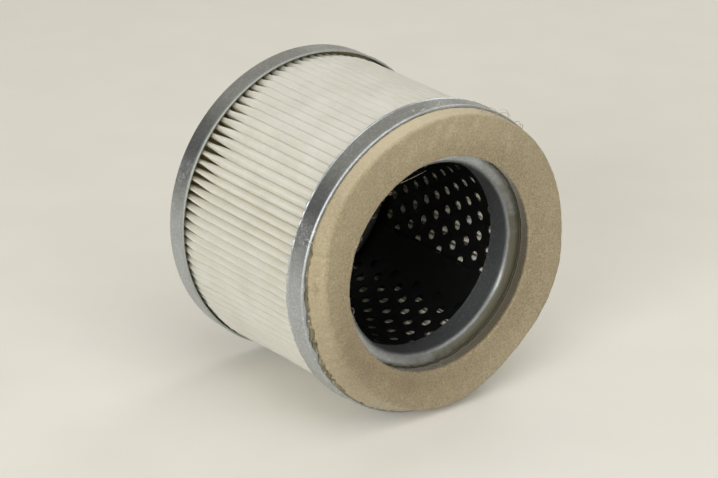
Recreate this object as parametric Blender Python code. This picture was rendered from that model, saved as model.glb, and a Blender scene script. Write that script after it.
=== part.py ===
"""Pleated cartridge for a compressed air filter, lying on its side.

Air flows inwards through the pleats and leaves through the bore. The cartridge's axis runs along Y:
the felt gasket and the open bore face -Y, and the closed end faces +Y. The origin is on the surface
that the two end caps rest on, under the middle of the cartridge. All sizes are in metres.
"""

import math

import bmesh
import bpy
from mathutils import Matrix, Vector

MM = 0.001

# Driving dimensions
CAP_RADIUS = 47.5 * MM  # outside of both end caps
CAPS_LENGTH = 67.2 * MM  # over the two caps, without the felt
CAP_SHEET = 0.5 * MM  # galvanised sheet
CAP_RIM = 7.2 * MM  # height of the flange that holds the pleats
CAP_CORNER = 1.2 * MM  # outside bend between the face and the flange
NECK_BORE = 29.2 * MM  # inside radius of the neck drawn into the front cap
NECK_DEPTH = 9.4 * MM
NECK_BEND = 3.0 * MM  # outside bend between the face and the neck
DISH_DEPTH = 6.4 * MM  # recess pressed into the closed cap
DISH_CORNER = 1.5 * MM
FELT_THICKNESS = 4.8 * MM
FELT_EDGE = 1.0 * MM  # softness of the felt's front edges
FELT_INSET = 2.5 * MM  # from the cap's outside to the felt's outside
FELT_BORE_LEDGE = 3.3 * MM  # from the neck's bore to the felt's bore
GLUE_THICKNESS = 0.3 * MM
GLUE_SQUEEZE = 0.5 * MM  # how far the glue stands out round the felt
POTTING_DEPTH = 2.6 * MM
CORE_SHEET = 0.5 * MM
CORE_LAP = 15.0 * MM  # length of the overlapping seam
CORE_MARGIN = 12.25 * MM  # from the inner end of the sheet to the first column of holes
CORE_SEAM_ANGLE = math.radians(-28.7)  # where the inner end of the sheet lies
HOLE_DIAMETER = 3.0 * MM
RING_PITCH = 5.2 * MM  # between rings of holes, along the tube
COLUMN_PITCH = 3.19 * MM  # between staggered columns of holes, round the tube
FIRST_RING = 10.85 * MM  # from the front cap's face
LAST_MARGIN = 4.0 * MM  # least plain edge past the last ring's holes
MEDIA_SHEET = 0.5 * MM
PLEATS = 100
PLEAT_INSET = 0.9 * MM  # from the inside of the flange to the outer folds
FOLD_SHARE = 0.74  # width of a fold, as a share of the pitch at the inner folds
MEDIA_SEAM_ANGLE = math.radians(22.0)
SEAM_SHARE = 0.55  # radial width of the glued seam, as a share of the pleats' depth
GAP = 0.2 * MM  # clearance between pieces that touch
SEGMENTS = 60  # flats round a turned piece, one of them underneath

# Places that follow from them, measured along +Y from the front cap's outside face
CAP_INSIDE = CAP_RADIUS - CAP_SHEET
NECK_OUTSIDE = NECK_BORE + CAP_SHEET
FELT_OUTSIDE = CAP_RADIUS - FELT_INSET
FELT_BORE = NECK_BORE + FELT_BORE_LEDGE
FELT_BACK = -2 * GAP - GLUE_THICKNESS
FELT_FRONT = FELT_BACK - FELT_THICKNESS
POTTING_TOP = CAP_SHEET + GAP + POTTING_DEPTH
CORE_INSIDE = NECK_OUTSIDE + GAP
CORE_STEP = CORE_SHEET + GAP  # how much the rolled sheet's radius grows in one turn
CORE_END = NECK_BEND + GAP
MEDIA_END = POTTING_TOP + GAP
MEDIA_OUTSIDE = CAP_INSIDE - PLEAT_INSET
AXIS_HEIGHT = CAP_RADIUS * math.cos(math.pi / SEGMENTS)
FRONT_FACE = -(CAPS_LENGTH + FELT_FRONT) / 2  # the front cap's face, in the part's frame


def clear_scene():
    for item in list(bpy.data.objects):
        bpy.data.objects.remove(item)


def make_material(name, color, roughness, metallic=0.0):
    material = bpy.data.materials.new(name)
    material.use_nodes = True
    shader = material.node_tree.nodes["Principled BSDF"]
    shader.inputs["Base Color"].default_value = (*color, 1.0)
    shader.inputs["Roughness"].default_value = roughness
    shader.inputs["Metallic"].default_value = metallic
    return material


def add_piece(name, bm, material):
    """Turns the bmesh, built about the Y axis, into an object on the cartridge's axis."""
    mesh = bpy.data.meshes.new(name)
    bmesh.ops.recalc_face_normals(bm, faces=bm.faces)
    bm.to_mesh(mesh)
    bm.free()
    mesh.materials.append(material)
    mesh.shade_smooth()
    mesh.set_sharp_from_angle(angle=math.radians(30))
    piece = bpy.data.objects.new(name, mesh)
    piece.location = (0, FRONT_FACE, AXIS_HEIGHT)
    bpy.context.scene.collection.objects.link(piece)
    return piece


def arc(center, radius, start, end, steps):
    """Points (radius, y) along an arc of a turned profile, both ends included, angles in degrees."""
    turn = [math.radians(start + (end - start) * i / steps) for i in range(steps + 1)]
    return [(center[0] + radius * math.cos(a), center[1] + radius * math.sin(a)) for a in turn]


def turned(name, profile, material):
    """A solid of revolution from a closed outline of (radius, y) points."""
    bm = bmesh.new()
    flat_below = Matrix.Rotation(math.pi / SEGMENTS, 4, "Y")
    corners = [bm.verts.new(flat_below @ Vector((radius, y, 0))) for radius, y in profile]
    edges = [bm.edges.new((a, b)) for a, b in zip(corners, corners[1:] + corners[:1])]
    bmesh.ops.spin(
        bm, geom=edges, axis=(0, 1, 0), cent=(0, 0, 0), angle=2 * math.pi, steps=SEGMENTS, use_merge=True
    )
    bmesh.ops.remove_doubles(bm, verts=bm.verts, dist=0.001 * MM)
    return add_piece(name, bm, material)


def flange_outline():
    """The rim and corner that both caps share, from inside the channel round to the face's outer edge."""
    corner = (CAP_RADIUS - CAP_CORNER, CAP_CORNER)
    inside = arc(corner, CAP_CORNER - CAP_SHEET, 270, 360, 2)
    outside = arc(corner, CAP_CORNER, 0, -90, 3)
    return [*inside, (CAP_INSIDE, CAP_RIM), (CAP_RADIUS, CAP_RIM), *outside]


def add_front_cap(material):
    """Annular cap with an outer flange and a neck drawn inwards round the bore."""
    bend = (NECK_BORE + NECK_BEND, NECK_BEND)
    outline = [
        *flange_outline(),
        *arc(bend, NECK_BEND, 270, 180, 4),
        (NECK_BORE, NECK_DEPTH),
        (NECK_OUTSIDE, NECK_DEPTH),
        *arc(bend, NECK_BEND - CAP_SHEET, 180, 270, 3),
    ]
    return turned("front_end_cap", outline, material)


def add_rear_cap(material):
    """Closed cap: the same flange, with a dish pressed inwards that centres the core tube."""
    bend = (NECK_BORE + NECK_BEND, NECK_BEND)
    floor_corner = (NECK_BORE - DISH_CORNER, DISH_DEPTH - DISH_CORNER)
    outline = [
        *flange_outline(),
        *arc(bend, NECK_BEND, 270, 180, 3),
        *arc(floor_corner, DISH_CORNER, 0, 90, 2),
        (0, DISH_DEPTH),
        (0, DISH_DEPTH + CAP_SHEET),
        *arc(floor_corner, DISH_CORNER + CAP_SHEET, 90, 0, 2),
        *arc(bend, NECK_BEND - CAP_SHEET, 180, 270, 3),
    ]
    mirrored = [(radius, CAPS_LENGTH - y) for radius, y in outline]
    return turned("rear_end_cap", mirrored, material)


def add_felt(material):
    """Ring of pressed felt that seals on the housing, with soft front edges."""
    outer_edge = (FELT_OUTSIDE - FELT_EDGE, FELT_FRONT + FELT_EDGE)
    inner_edge = (FELT_BORE + FELT_EDGE, FELT_FRONT + FELT_EDGE)
    outline = [
        (FELT_BORE, FELT_BACK),
        (FELT_OUTSIDE, FELT_BACK),
        *arc(outer_edge, FELT_EDGE, 0, -90, 2),
        *arc(inner_edge, FELT_EDGE, 270, 180, 2),
    ]
    return turned("felt_gasket", outline, material)


def add_ring(name, inner, outer, low, high, material):
    return turned(name, [(inner, low), (outer, low), (outer, high), (inner, high)], material)


def add_potting(name, rear, material):
    """Ring of adhesive in a cap's channel. The pleats stand on it and it closes round the core tube."""
    inner, outer, foot = media_inside(), CAP_RADIUS - CAP_CORNER - GAP, CAP_SHEET + GAP
    bend = NECK_BEND - CAP_SHEET
    over_bend = max(NECK_BORE + NECK_BEND - inner, 0)
    outline = [(outer, foot), (outer, POTTING_TOP), (inner, POTTING_TOP)]
    outline.append((inner, foot + bend - math.sqrt(bend**2 - over_bend**2)))
    if over_bend:
        outline.append((inner + over_bend, foot))
    if rear:
        outline = [(radius, CAPS_LENGTH - y) for radius, y in outline]
    return turned(name, outline, material)


def core_turn():
    """Length of one turn of the core's sheet, at its middle."""
    return 2 * math.pi * (CORE_INSIDE + (CORE_SHEET + CORE_STEP) / 2)


def media_inside():
    """Radius just outside the core, where its lap seam is thickest."""
    return CORE_INSIDE + CORE_STEP * (1 + CORE_LAP / core_turn()) + CORE_SHEET + GAP


def hole_corner(center, degrees):
    """A corner of the six-sided hole round center, which has the area of the round one."""
    radius = HOLE_DIAMETER / 2 * math.sqrt(math.pi / (1.5 * math.sqrt(3)))
    angle = math.radians(degrees)
    return (center[0] + radius * math.cos(angle), center[1] + radius * math.sin(angle))


def strip_between(here, there, way):
    """The four-sided piece of sheet between two neighbouring holes, there lying way degrees from here."""
    angles = ((here, way - 30), (there, way + 210), (there, way + 150), (here, way + 30))
    return [hole_corner(center, degrees) for center, degrees in angles]


def edge_tiles(here, right, edge, side):
    """The sheet between an outermost hole and the sheet's edge, on the side of larger or smaller y."""
    left_corner, peak, right_corner = (hole_corner(here, side * a) for a in (150, 90, 30))
    foot = (here[0], edge)
    before, after = (here[0] - COLUMN_PITCH, edge), (here[0] + COLUMN_PITCH, edge)
    yield [left_corner, peak, foot, before]
    yield [peak, right_corner, after, foot]
    yield [right_corner, hole_corner(right, side * 150), after]


def sheet_tiles(length, low, high):
    """Flat polygons that tile the core's sheet, leaving out its holes. They run past both its ends.

    The holes stand in rings, low to high along Y, and each ring is offset by one column.
    """
    last_center = high - LAST_MARGIN - HOLE_DIAMETER / 2
    rings = int((last_center - FIRST_RING) / RING_PITCH) + 1
    first_column = -math.ceil(CORE_MARGIN / COLUMN_PITCH) - 1
    last_column = math.ceil((length - CORE_MARGIN) / COLUMN_PITCH)

    def center(column, ring):
        return (CORE_MARGIN + column * COLUMN_PITCH, FIRST_RING + ring * RING_PITCH)

    for ring in range(rings):
        for column in range(first_column, last_column + 1):
            if (ring + column) % 2:
                continue
            here, right = center(column, ring), center(column + 2, ring)
            above, above_left = center(column + 1, ring + 1), center(column - 1, ring + 1)
            if column < 0 or here[0] + HOLE_DIAMETER > length:
                yield [hole_corner(here, a) for a in range(30, 390, 60)]
            yield strip_between(here, right, 0)
            if ring == 0:
                yield from edge_tiles(here, right, low, -1)
            if ring == rings - 1:
                yield from edge_tiles(here, right, high, 1)
                continue
            yield strip_between(here, above, 60)
            yield strip_between(here, above_left, 120)
            yield [hole_corner(here, 30), hole_corner(right, 150), hole_corner(above, 270)]
            yield [hole_corner(here, 90), hole_corner(above, 210), hole_corner(above_left, 330)]


def perforated_sheet(bm, length, low, high):
    """The core's flat sheet, from 0 to length along X and from low to high along Y."""
    for tile in sheet_tiles(length, low, high):
        bm.faces.new([bm.verts.new((x, y, 0)) for x, y in tile])
    bmesh.ops.remove_doubles(bm, verts=bm.verts, dist=0.01 * MM)
    for place, way in ((0, -1), (length, 1)):
        everything = bm.verts[:] + bm.edges[:] + bm.faces[:]
        bmesh.ops.bisect_plane(
            bm, geom=everything, plane_co=(place, 0, 0), plane_no=(way, 0, 0), clear_outer=True
        )


def add_core(material):
    """Perforated tube, rolled from one sheet: a spiral whose ends overlap in a lap seam."""
    bm = bmesh.new()
    turn = core_turn()
    perforated_sheet(bm, turn + CORE_LAP, CORE_END, CAPS_LENGTH - CORE_END)
    for vert in bm.verts:
        along, y, _ = vert.co
        angle = CORE_SEAM_ANGLE - 2 * math.pi * along / turn
        radius = CORE_INSIDE + CORE_STEP * along / turn
        vert.co = (radius * math.cos(angle), y, radius * math.sin(angle))
    core = add_piece("core_tube", bm, material)
    wall = core.modifiers.new("sheet", "SOLIDIFY")
    wall.thickness = CORE_SHEET
    face = core.data.polygons[0]
    outwards = Vector((face.center.x, 0, face.center.z)).dot(face.normal) > 0
    wall.offset = 1 if outwards else -1
    return core


def media_stations():
    """(outside point, inside point) pairs at the folds of the pleated strip, each point (x, z)."""
    inside = media_inside()
    half_fold = FOLD_SHARE * math.pi * inside / PLEATS
    half_room = half_fold - MEDIA_SHEET
    seam_room = GLUE_THICKNESS / 2 + GAP

    def place(angle, radius, across):
        turn = MEDIA_SEAM_ANGLE + angle
        out = Vector((math.cos(turn), math.sin(turn)))
        return radius * out + across * Vector((-out.y, out.x))

    def seam_end(side):
        outer = place(0, MEDIA_OUTSIDE - MEDIA_SHEET, side * (seam_room + MEDIA_SHEET))
        return outer, place(0, MEDIA_OUTSIDE - MEDIA_SHEET, side * seam_room)

    step = 2 * math.pi / PLEATS
    stations = [seam_end(1)]
    for pleat in range(PLEATS):
        valley, tip = (pleat + 0.5) * step, (pleat + 1) * step
        for side in (-1, 1):
            floor = place(valley, inside + MEDIA_SHEET, side * half_room)
            stations.append((floor, place(valley, inside, side * half_fold)))
        if pleat + 1 < PLEATS:
            for side in (-1, 1):
                crest = place(tip, MEDIA_OUTSIDE, side * half_fold)
                stations.append((crest, place(tip, MEDIA_OUTSIDE - MEDIA_SHEET, side * half_room)))
    stations.append(seam_end(-1))
    return stations


def add_media(material):
    """One sheet folded into pleats. Its two ends meet in the pleat at the seam."""
    bm = bmesh.new()
    rows = [[bm.verts.new((x, MEDIA_END, z)) for x, z in pair] for pair in media_stations()]
    faces = [bm.faces.new((a[0], b[0], b[1], a[1])) for a, b in zip(rows, rows[1:])]
    made = bmesh.ops.extrude_face_region(bm, geom=faces, use_keep_orig=True)
    moved = [item for item in made["geom"] if isinstance(item, bmesh.types.BMVert)]
    bmesh.ops.translate(bm, verts=moved, vec=(0, CAPS_LENGTH - 2 * MEDIA_END, 0))
    return add_piece("pleated_media", bm, material)


def add_seam_glue(material):
    """Strip of adhesive between the two ends of the pleated sheet."""
    outer = MEDIA_OUTSIDE - MEDIA_SHEET - GAP
    width = SEAM_SHARE * (outer - media_inside())
    bm = bmesh.new()
    bmesh.ops.create_cube(bm, size=1.0)
    size = Vector((width, CAPS_LENGTH - 2 * MEDIA_END, GLUE_THICKNESS))
    bmesh.ops.scale(bm, verts=bm.verts, vec=size)
    bmesh.ops.translate(bm, verts=bm.verts, vec=(outer - width / 2, CAPS_LENGTH / 2, 0))
    bmesh.ops.rotate(bm, verts=bm.verts, matrix=Matrix.Rotation(-MEDIA_SEAM_ANGLE, 3, "Y"))
    return add_piece("media_seam_glue", bm, material)


def main():
    clear_scene()
    galvanised = make_material("galvanised_steel", (0.42, 0.44, 0.45), 0.42, 0.9)
    felt = make_material("wool_felt", (0.47, 0.39, 0.26), 0.95)
    glue = make_material("gasket_glue", (0.22, 0.21, 0.15), 0.5)
    potting = make_material("potting_compound", (0.30, 0.28, 0.22), 0.45)
    paper = make_material("filter_media", (0.80, 0.78, 0.70), 0.9)
    black_steel = make_material("black_steel", (0.02, 0.02, 0.02), 0.4, 0.3)

    add_front_cap(galvanised)
    add_rear_cap(galvanised)
    add_felt(felt)
    glue_inner, glue_outer = FELT_BORE + GLUE_SQUEEZE, FELT_OUTSIDE + GLUE_SQUEEZE
    add_ring("gasket_adhesive", glue_inner, glue_outer, -GAP - GLUE_THICKNESS, -GAP, glue)
    add_potting("front_potting", False, potting)
    add_potting("rear_potting", True, potting)
    add_core(black_steel)
    add_media(paper)
    add_seam_glue(glue)


main()
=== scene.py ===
import math

import bmesh
import bpy
import numpy as np
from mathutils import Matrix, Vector


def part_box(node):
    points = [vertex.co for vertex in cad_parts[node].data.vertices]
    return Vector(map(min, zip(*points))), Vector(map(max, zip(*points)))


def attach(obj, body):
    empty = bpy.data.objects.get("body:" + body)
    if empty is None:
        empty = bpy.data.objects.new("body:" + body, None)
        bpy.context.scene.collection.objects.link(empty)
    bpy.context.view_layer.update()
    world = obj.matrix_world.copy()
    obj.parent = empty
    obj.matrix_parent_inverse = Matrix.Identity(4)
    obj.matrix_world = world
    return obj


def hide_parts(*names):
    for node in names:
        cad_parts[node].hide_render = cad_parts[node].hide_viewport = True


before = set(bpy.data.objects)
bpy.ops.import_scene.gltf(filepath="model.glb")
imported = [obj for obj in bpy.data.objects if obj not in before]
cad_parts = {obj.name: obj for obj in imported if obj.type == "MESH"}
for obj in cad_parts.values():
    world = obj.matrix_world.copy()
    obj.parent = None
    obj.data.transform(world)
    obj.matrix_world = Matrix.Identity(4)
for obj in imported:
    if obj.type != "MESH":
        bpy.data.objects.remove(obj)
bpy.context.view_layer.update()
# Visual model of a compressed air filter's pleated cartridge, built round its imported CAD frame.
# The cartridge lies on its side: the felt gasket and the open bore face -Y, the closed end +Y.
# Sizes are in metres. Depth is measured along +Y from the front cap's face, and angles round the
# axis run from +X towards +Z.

MM = 0.001
RING = np.linspace(0, 2 * np.pi, 720, endpoint=False)[None, :]  # angles round the axis

# The frame's own sizes
FRONT_LOW, FRONT_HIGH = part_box("front_end_cap")
REAR_LOW, REAR_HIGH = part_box("rear_end_cap")
FELT_LOW, FELT_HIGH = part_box("felt_gasket")
CORE_LOW, CORE_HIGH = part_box("core_tube")
MEDIA_LOW, MEDIA_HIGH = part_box("pleated_media")
AXIS_Z = (FRONT_LOW[2] + FRONT_HIGH[2]) / 2
FACE_Y = FRONT_LOW[1]
CAP_RADIUS = (FRONT_HIGH[0] - FRONT_LOW[0]) / 2
CAPS_LENGTH = REAR_HIGH[1] - FACE_Y
CAP_RIM = REAR_HIGH[1] - REAR_LOW[1]
NECK_DEPTH = FRONT_HIGH[1] - FACE_Y

# Sizes that the boxes don't show
CAP_SHEET = 0.5 * MM
CAP_CORNER = 0.7 * MM
LIP_RADIUS = 0.38 * MM  # the flange's sheared edge is a little upset
LIP_WIDTH = 0.3 * MM
LIP_FLARE = 0.24 * MM
FLANGE_INSET = 0.3 * MM  # leaves room inside the frame's box for the flared lip
CLEARANCE = 0.05 * MM  # between the lip and the frame's box
NECK_BORE = 29.2 * MM
NECK_BEND = 3.0 * MM
NECK_BEND_CENTER = (NECK_BORE + NECK_BEND, NECK_BEND)
DISH_DEPTH = 6.4 * MM
DISH_CORNER = 1.5 * MM
CORE_INSIDE = 29.9 * MM
CORE_SHEET = 0.5 * MM
CORE_STEP = 0.7 * MM  # growth of the rolled sheet's radius in one turn
CORE_LAP = 15.0 * MM  # length of the sheet's second layer
CORE_SEAM_ANGLE = math.radians(-28.7)
HOLE_RADIUS = 1.5 * MM
RING_PITCH = 5.2 * MM
COLUMN_PITCH = 3.19 * MM
FIRST_RING = 10.85 * MM  # depth of the first ring of holes
RINGS = 10
CORE_MARGIN = 12.25 * MM  # from the sheet's start to its first column of holes
PLEATS = 100
MEDIA_SEAM_ANGLE = math.radians(22.0)
MEDIA_INSIDE = 31.35 * MM
MEDIA_OUTSIDE = 45.95 * MM
MEDIA_SHEET = 0.3 * MM  # thinner than the frame's sheet, so that the folds stay crisp
VALLEY_BEND = 0.5 * MM


# Shapes -------------------------------------------------------------------------------------------


def placed(radius, angle, depth):
    """Points of the row frame at that radius and angle about the axis and that depth."""
    across, up = radius * np.cos(angle), radius * np.sin(angle)
    return np.stack(np.broadcast_arrays(across, FACE_Y + depth, AXIS_Z + up), axis=-1)


def waves(angle, seed, slowest, fastest, height):
    """Smooth irregularity round the ring, about height in size, with a whole number of waves."""
    draw = np.random.default_rng(seed)
    counts = np.arange(slowest, fastest + 1)
    phases = draw.uniform(0, 2 * np.pi, len(counts))
    sizes = draw.normal(0, 1, len(counts))
    total = sum(s * np.cos(k * angle + p) for k, p, s in zip(counts, phases, sizes))
    return total * height / math.sqrt(len(counts))


def ripples(angle, along, seed, round_range, along_range, height):
    """Smooth irregularity over a surface: along is in metres, along_range in waves per metre."""
    draw = np.random.default_rng(seed)
    total = np.zeros(np.broadcast(angle, along).shape)
    count = 60
    for _ in range(count):
        around = draw.integers(round_range[0], round_range[1] + 1)
        rate = draw.uniform(*along_range) * 2 * np.pi
        handed = draw.choice((-1, 1))
        total += np.cos(around * angle + rate * along * handed + draw.uniform(0, 2 * np.pi))
    return total * height * math.sqrt(2 / count)


def round_the_ring(angle, controls, softness):
    """A value for each angle, read from {degrees: value} and smoothed over softness degrees."""
    fine = np.arange(720) / 2
    keys = sorted(controls)
    values = np.interp(fine, keys, [controls[k] for k in keys], period=360)
    spread = np.exp(-0.5 * (np.minimum(fine, 360 - fine) / softness) ** 2)
    smooth = np.fft.irfft(np.fft.rfft(values) * np.fft.rfft(spread / spread.sum()), 720)
    return np.interp(np.degrees(angle) % 360, fine, smooth, period=360)


def bump_at(angle, center, width):
    """1 at center degrees, fading to 0 over width degrees."""
    off = (np.degrees(angle) - center + 180) % 360 - 180
    return np.exp(-0.5 * (off / width) ** 2)


def finish_piece(name, mesh, material, slot, *nodes, sharp=30):
    """Makes the mesh a piece of the root body, in the place of the nodes that it stands for."""
    mesh.materials.append(material)
    mesh.shade_smooth()
    if sharp:
        mesh.set_sharp_from_angle(angle=math.radians(sharp))
    piece = bpy.data.objects.new(name, mesh)
    bpy.context.scene.collection.objects.link(piece)
    if nodes:
        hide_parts(*nodes)
    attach(piece, "root")
    return piece


def sheet_mesh(name, points, along, closed=True):
    """A quad mesh from a grid of points, which closes on itself both ways or neither.

    Its UV's V holds along in millimetres, one value for each row.
    """
    rows, columns = points.shape[:2]
    i = np.arange(rows if closed else rows - 1)
    j = np.arange(columns if closed else columns - 1)
    i, j = np.meshgrid(i, j, indexing="ij")
    ii, jj = (i + 1) % rows, (j + 1) % columns
    faces = np.stack([i * columns + j, ii * columns + j, ii * columns + jj, i * columns + jj], -1)
    mesh = bpy.data.meshes.new(name)
    mesh.from_pydata(points.reshape(-1, 3), [], faces.reshape(-1, 4))
    v = np.repeat(along, columns)
    corners = np.empty(len(mesh.loops), np.int32)
    mesh.loops.foreach_get("vertex_index", corners)
    uv = np.zeros((len(corners), 2), np.float32)
    uv[:, 1] = v[corners] / MM
    mesh.uv_layers.new(name="drawn").data.foreach_set("uv", uv.ravel())
    return mesh


def tidy_mesh(mesh):
    """Merges points that meet and turns the faces outwards."""
    bm = bmesh.new()
    bm.from_mesh(mesh)
    bmesh.ops.remove_doubles(bm, verts=bm.verts, dist=0.002 * MM)
    bmesh.ops.recalc_face_normals(bm, faces=bm.faces)
    bm.to_mesh(mesh)
    bm.free()
    return mesh


def arc(center, radius, start, end, steps):
    """Points of an arc from start to end degrees, both included."""
    turn = np.radians(np.linspace(start, end, steps + 1))
    return [(center[0] + radius * math.cos(a), center[1] + radius * math.sin(a)) for a in turn]


def resampled(outline, longest):
    """The closed outline with its long sides cut into steps no longer than that."""
    points = [np.array(p) for p in outline]
    out = []
    for a, b in zip(points, points[1:] + points[:1]):
        steps = max(1, math.ceil(np.linalg.norm(b - a) / longest))
        out += [a + (b - a) * k / steps for k in range(steps)]
    return np.array(out)


def turned(name, outline, shape):
    """A mesh turned from a closed outline of (radius, depth) points.

    shape(radius, depth, angle) moves the points off the plain turned surface.
    """
    outline = resampled(outline, 1.5 * MM)
    steps = np.linalg.norm(np.diff(outline, axis=0), axis=1)
    along = np.concatenate([[0], np.cumsum(steps)])
    radius = np.repeat(outline[:, :1], RING.size, axis=1)
    depth = np.repeat(outline[:, 1:], RING.size, axis=1)
    radius, depth = shape(radius, depth, RING)
    return tidy_mesh(sheet_mesh(name, placed(radius, RING, depth), along))


# End caps -----------------------------------------------------------------------------------------


def flange_outline():
    """(radius, depth) points from inside the flange, round its lip to the cap's face."""
    corner = (CAP_RADIUS - CAP_CORNER, CAP_CORNER)
    lip = (CAP_RADIUS - LIP_RADIUS, CAP_RIM - LIP_RADIUS)
    inside = arc(corner, CAP_CORNER - CAP_SHEET, 270, 360, 4)
    outside = arc(corner, CAP_CORNER, 0, -90, 8)
    below_lip = [(CAP_RADIUS, lip[1] - k * 0.1 * MM) for k in range(1, 10)]
    return [*inside, *arc(lip, LIP_RADIUS, 215, 0, 8), *below_lip, *outside]


def pressed(seed, flaring):
    """The slight unevenness of a pressed sheet, and its sheared lip, which flares raggedly."""

    def shape(radius, depth, angle):
        on_flange = np.clip((radius - 46 * MM) / (1 * MM), 0, 1)
        from_lip = CAP_RIM - LIP_WIDTH - depth
        near_lip = np.exp(-((from_lip / LIP_WIDTH) ** 2)) * on_flange
        uneven = waves(angle, seed, 2, 9, 0.04 * MM) * on_flange * depth / CAP_RIM
        nicks = waves(angle, seed + 1, 15, 150, 0.08 * MM)
        ragged = LIP_FLARE + nicks + waves(angle, seed + 2, 3, 9, 0.05 * MM)
        flare = flaring * np.clip(ragged, 0.05 * MM, 0.4 * MM) * near_lip
        radius = radius - FLANGE_INSET * on_flange + uneven + flare
        depth = depth + flaring * (ragged - LIP_FLARE) * near_lip
        return np.minimum(radius, CAP_RADIUS - CLEARANCE), depth

    return shape


def add_front_cap(material):
    neck_end = (NECK_BORE + CAP_SHEET / 2, NECK_DEPTH - CAP_SHEET / 2)
    outline = [
        *flange_outline(),
        *arc(NECK_BEND_CENTER, NECK_BEND, 270, 180, 14),
        *arc(neck_end, CAP_SHEET / 2, 180, 0, 6),
        *arc(NECK_BEND_CENTER, NECK_BEND - CAP_SHEET, 180, 270, 8),
    ]
    mesh = turned("front_cap", outline, pressed(3, flaring=1.0))
    return finish_piece("front_cap", mesh, material, "galvanised_steel", "front_end_cap")


def add_rear_cap(material):
    """The closed cap, which is shaped like the front one and then turned to face backwards."""
    floor_corner = (NECK_BORE - DISH_CORNER, DISH_DEPTH - DISH_CORNER)
    outline = [
        *flange_outline(),
        *arc(NECK_BEND_CENTER, NECK_BEND, 270, 180, 12),
        *arc(floor_corner, DISH_CORNER, 0, 90, 8),
        (0.0, DISH_DEPTH),
        (0.0, DISH_DEPTH + CAP_SHEET),
        *arc(floor_corner, DISH_CORNER + CAP_SHEET, 90, 0, 8),
        *arc(NECK_BEND_CENTER, NECK_BEND - CAP_SHEET, 180, 270, 8),
    ]
    uneven = pressed(11, flaring=0.4)

    def mirrored(radius, depth, angle):
        radius, depth = uneven(radius, depth, angle)
        return radius, CAPS_LENGTH - depth

    mesh = turned("rear_cap", outline, mirrored)
    return finish_piece("rear_cap", mesh, material, "galvanised_steel", "rear_end_cap")


# Felt gasket and its glue -------------------------------------------------------------------------

FELT_FRONT = FELT_LOW[1] - FACE_Y + 0.15 * MM  # leaves room inside the frame's box for the nap
FELT_BACK = FELT_HIGH[1] - FACE_Y
FELT_THICKNESS = FELT_BACK - FELT_FRONT

# The hand-cut ring is out of round. Radii are in millimetres, at angles in degrees.
FELT_FRONT_RIM = {
    0: 45.0, 20: 45.3, 45: 46.0, 80: 45.9, 110: 45.9, 135: 46.2, 150: 45.4, 163: 43.8, 178: 41.8,
    195: 40.9, 220: 41.0, 240: 42.4, 258: 44.4, 275: 45.6, 290: 45.2, 302: 44.5, 312: 44.4,
    325: 45.2, 345: 45.9,
}
FELT_BACK_RIM = {
    0: 45.4, 60: 46.4, 110: 46.7, 150: 46.7, 165: 46.4, 178: 45.5, 187: 45.0, 200: 45.2, 215: 45.9,
    235: 46.3, 260: 46.3, 285: 45.8, 308: 44.7, 330: 45.4,
}


def felt_rim(angle, share):
    """The felt's outer radius; share runs from 0 at its front to 1 at its back."""
    front = round_the_ring(angle, FELT_FRONT_RIM, 4) * MM
    back = round_the_ring(angle, FELT_BACK_RIM, 3) * MM
    nicks = (0.8 * bump_at(angle, 163, 1.0) + 0.4 * bump_at(angle, 166.5, 0.8)) * MM
    rough = waves(angle, 21, 25, 110, 0.045 * MM) * (1 + 2.0 * bump_at(angle, 205, 30))
    return front * (1 - share) + back * share + rough - nicks


def felt_bore(angle, share):
    """The felt's inner radius, which is a little off centre and wider at its back."""
    off_center = (-0.9 * np.cos(angle) + 0.6 * np.sin(angle)) * MM
    rough = waves(angle, 22, 8, 60, 0.06 * MM)
    widening = (0.3 + 0.7 * bump_at(angle, 345, 55)) * MM
    return 32.8 * MM + off_center + rough + share * widening


def felt_section():
    """The ring's outline in shares: across, 0 at the bore and 1 at the rim; deep, 0 at the front."""
    soft_across, soft_deep = 0.07, 0.18
    section = [(x, 0.0) for x in np.linspace(soft_across, 1 - soft_across, 22)[:-1]]
    for t in np.radians(np.linspace(90, 0, 7)):
        section.append((1 - soft_across * (1 - math.cos(t)), soft_deep * (1 - math.sin(t))))
    section += [(1.0, y) for y in np.linspace(soft_deep, 1, 9)[1:]]
    section += [(x, 1.0) for x in np.linspace(1, 0, 10)[1:]]
    section += [(0.0, y) for y in np.linspace(1, soft_deep, 9)[1:]]
    for t in np.radians(np.linspace(0, 90, 7)[1:-1]):
        section.append((soft_across * (1 - math.cos(t)), soft_deep * (1 - math.sin(t))))
    return np.array(section)


def add_felt(material):
    """The felt ring, with a lumpy front face that sags at two places, and rough walls."""
    section = felt_section()
    across, deep = section[:, :1], section[:, 1:]
    rim, bore = felt_rim(RING, deep), felt_bore(RING, deep)
    radius = bore + across * (rim - bore)
    depth = FELT_FRONT + deep * FELT_THICKNESS
    on_front = np.clip(1 - deep * 4, 0, 1)
    lumps = ripples(RING, radius, 31, (3, 60), (20, 160), 0.07 * MM)
    nap = ripples(RING, radius, 32, (80, 300), (300, 900), 0.035 * MM)
    sag = 0.25 * MM * (bump_at(RING, 222, 14) + bump_at(RING, 305, 16)) * across
    depth = depth + on_front * np.maximum(lumps + nap + sag + 0.1 * MM, 0)
    on_wall = (across > 0.99) | (across < 0.01)
    rough = ripples(RING, depth, 33, (40, 260), (80, 500), 0.03 * MM)
    radius = radius + on_wall * rough * (across - 0.5)
    along = np.arange(len(section)) * 0.6 * MM
    mesh = tidy_mesh(sheet_mesh("felt_ring", placed(radius, RING, depth), along))
    piece = finish_piece("felt_ring", mesh, material, "wool_felt", "felt_gasket", sharp=None)
    return piece


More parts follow.
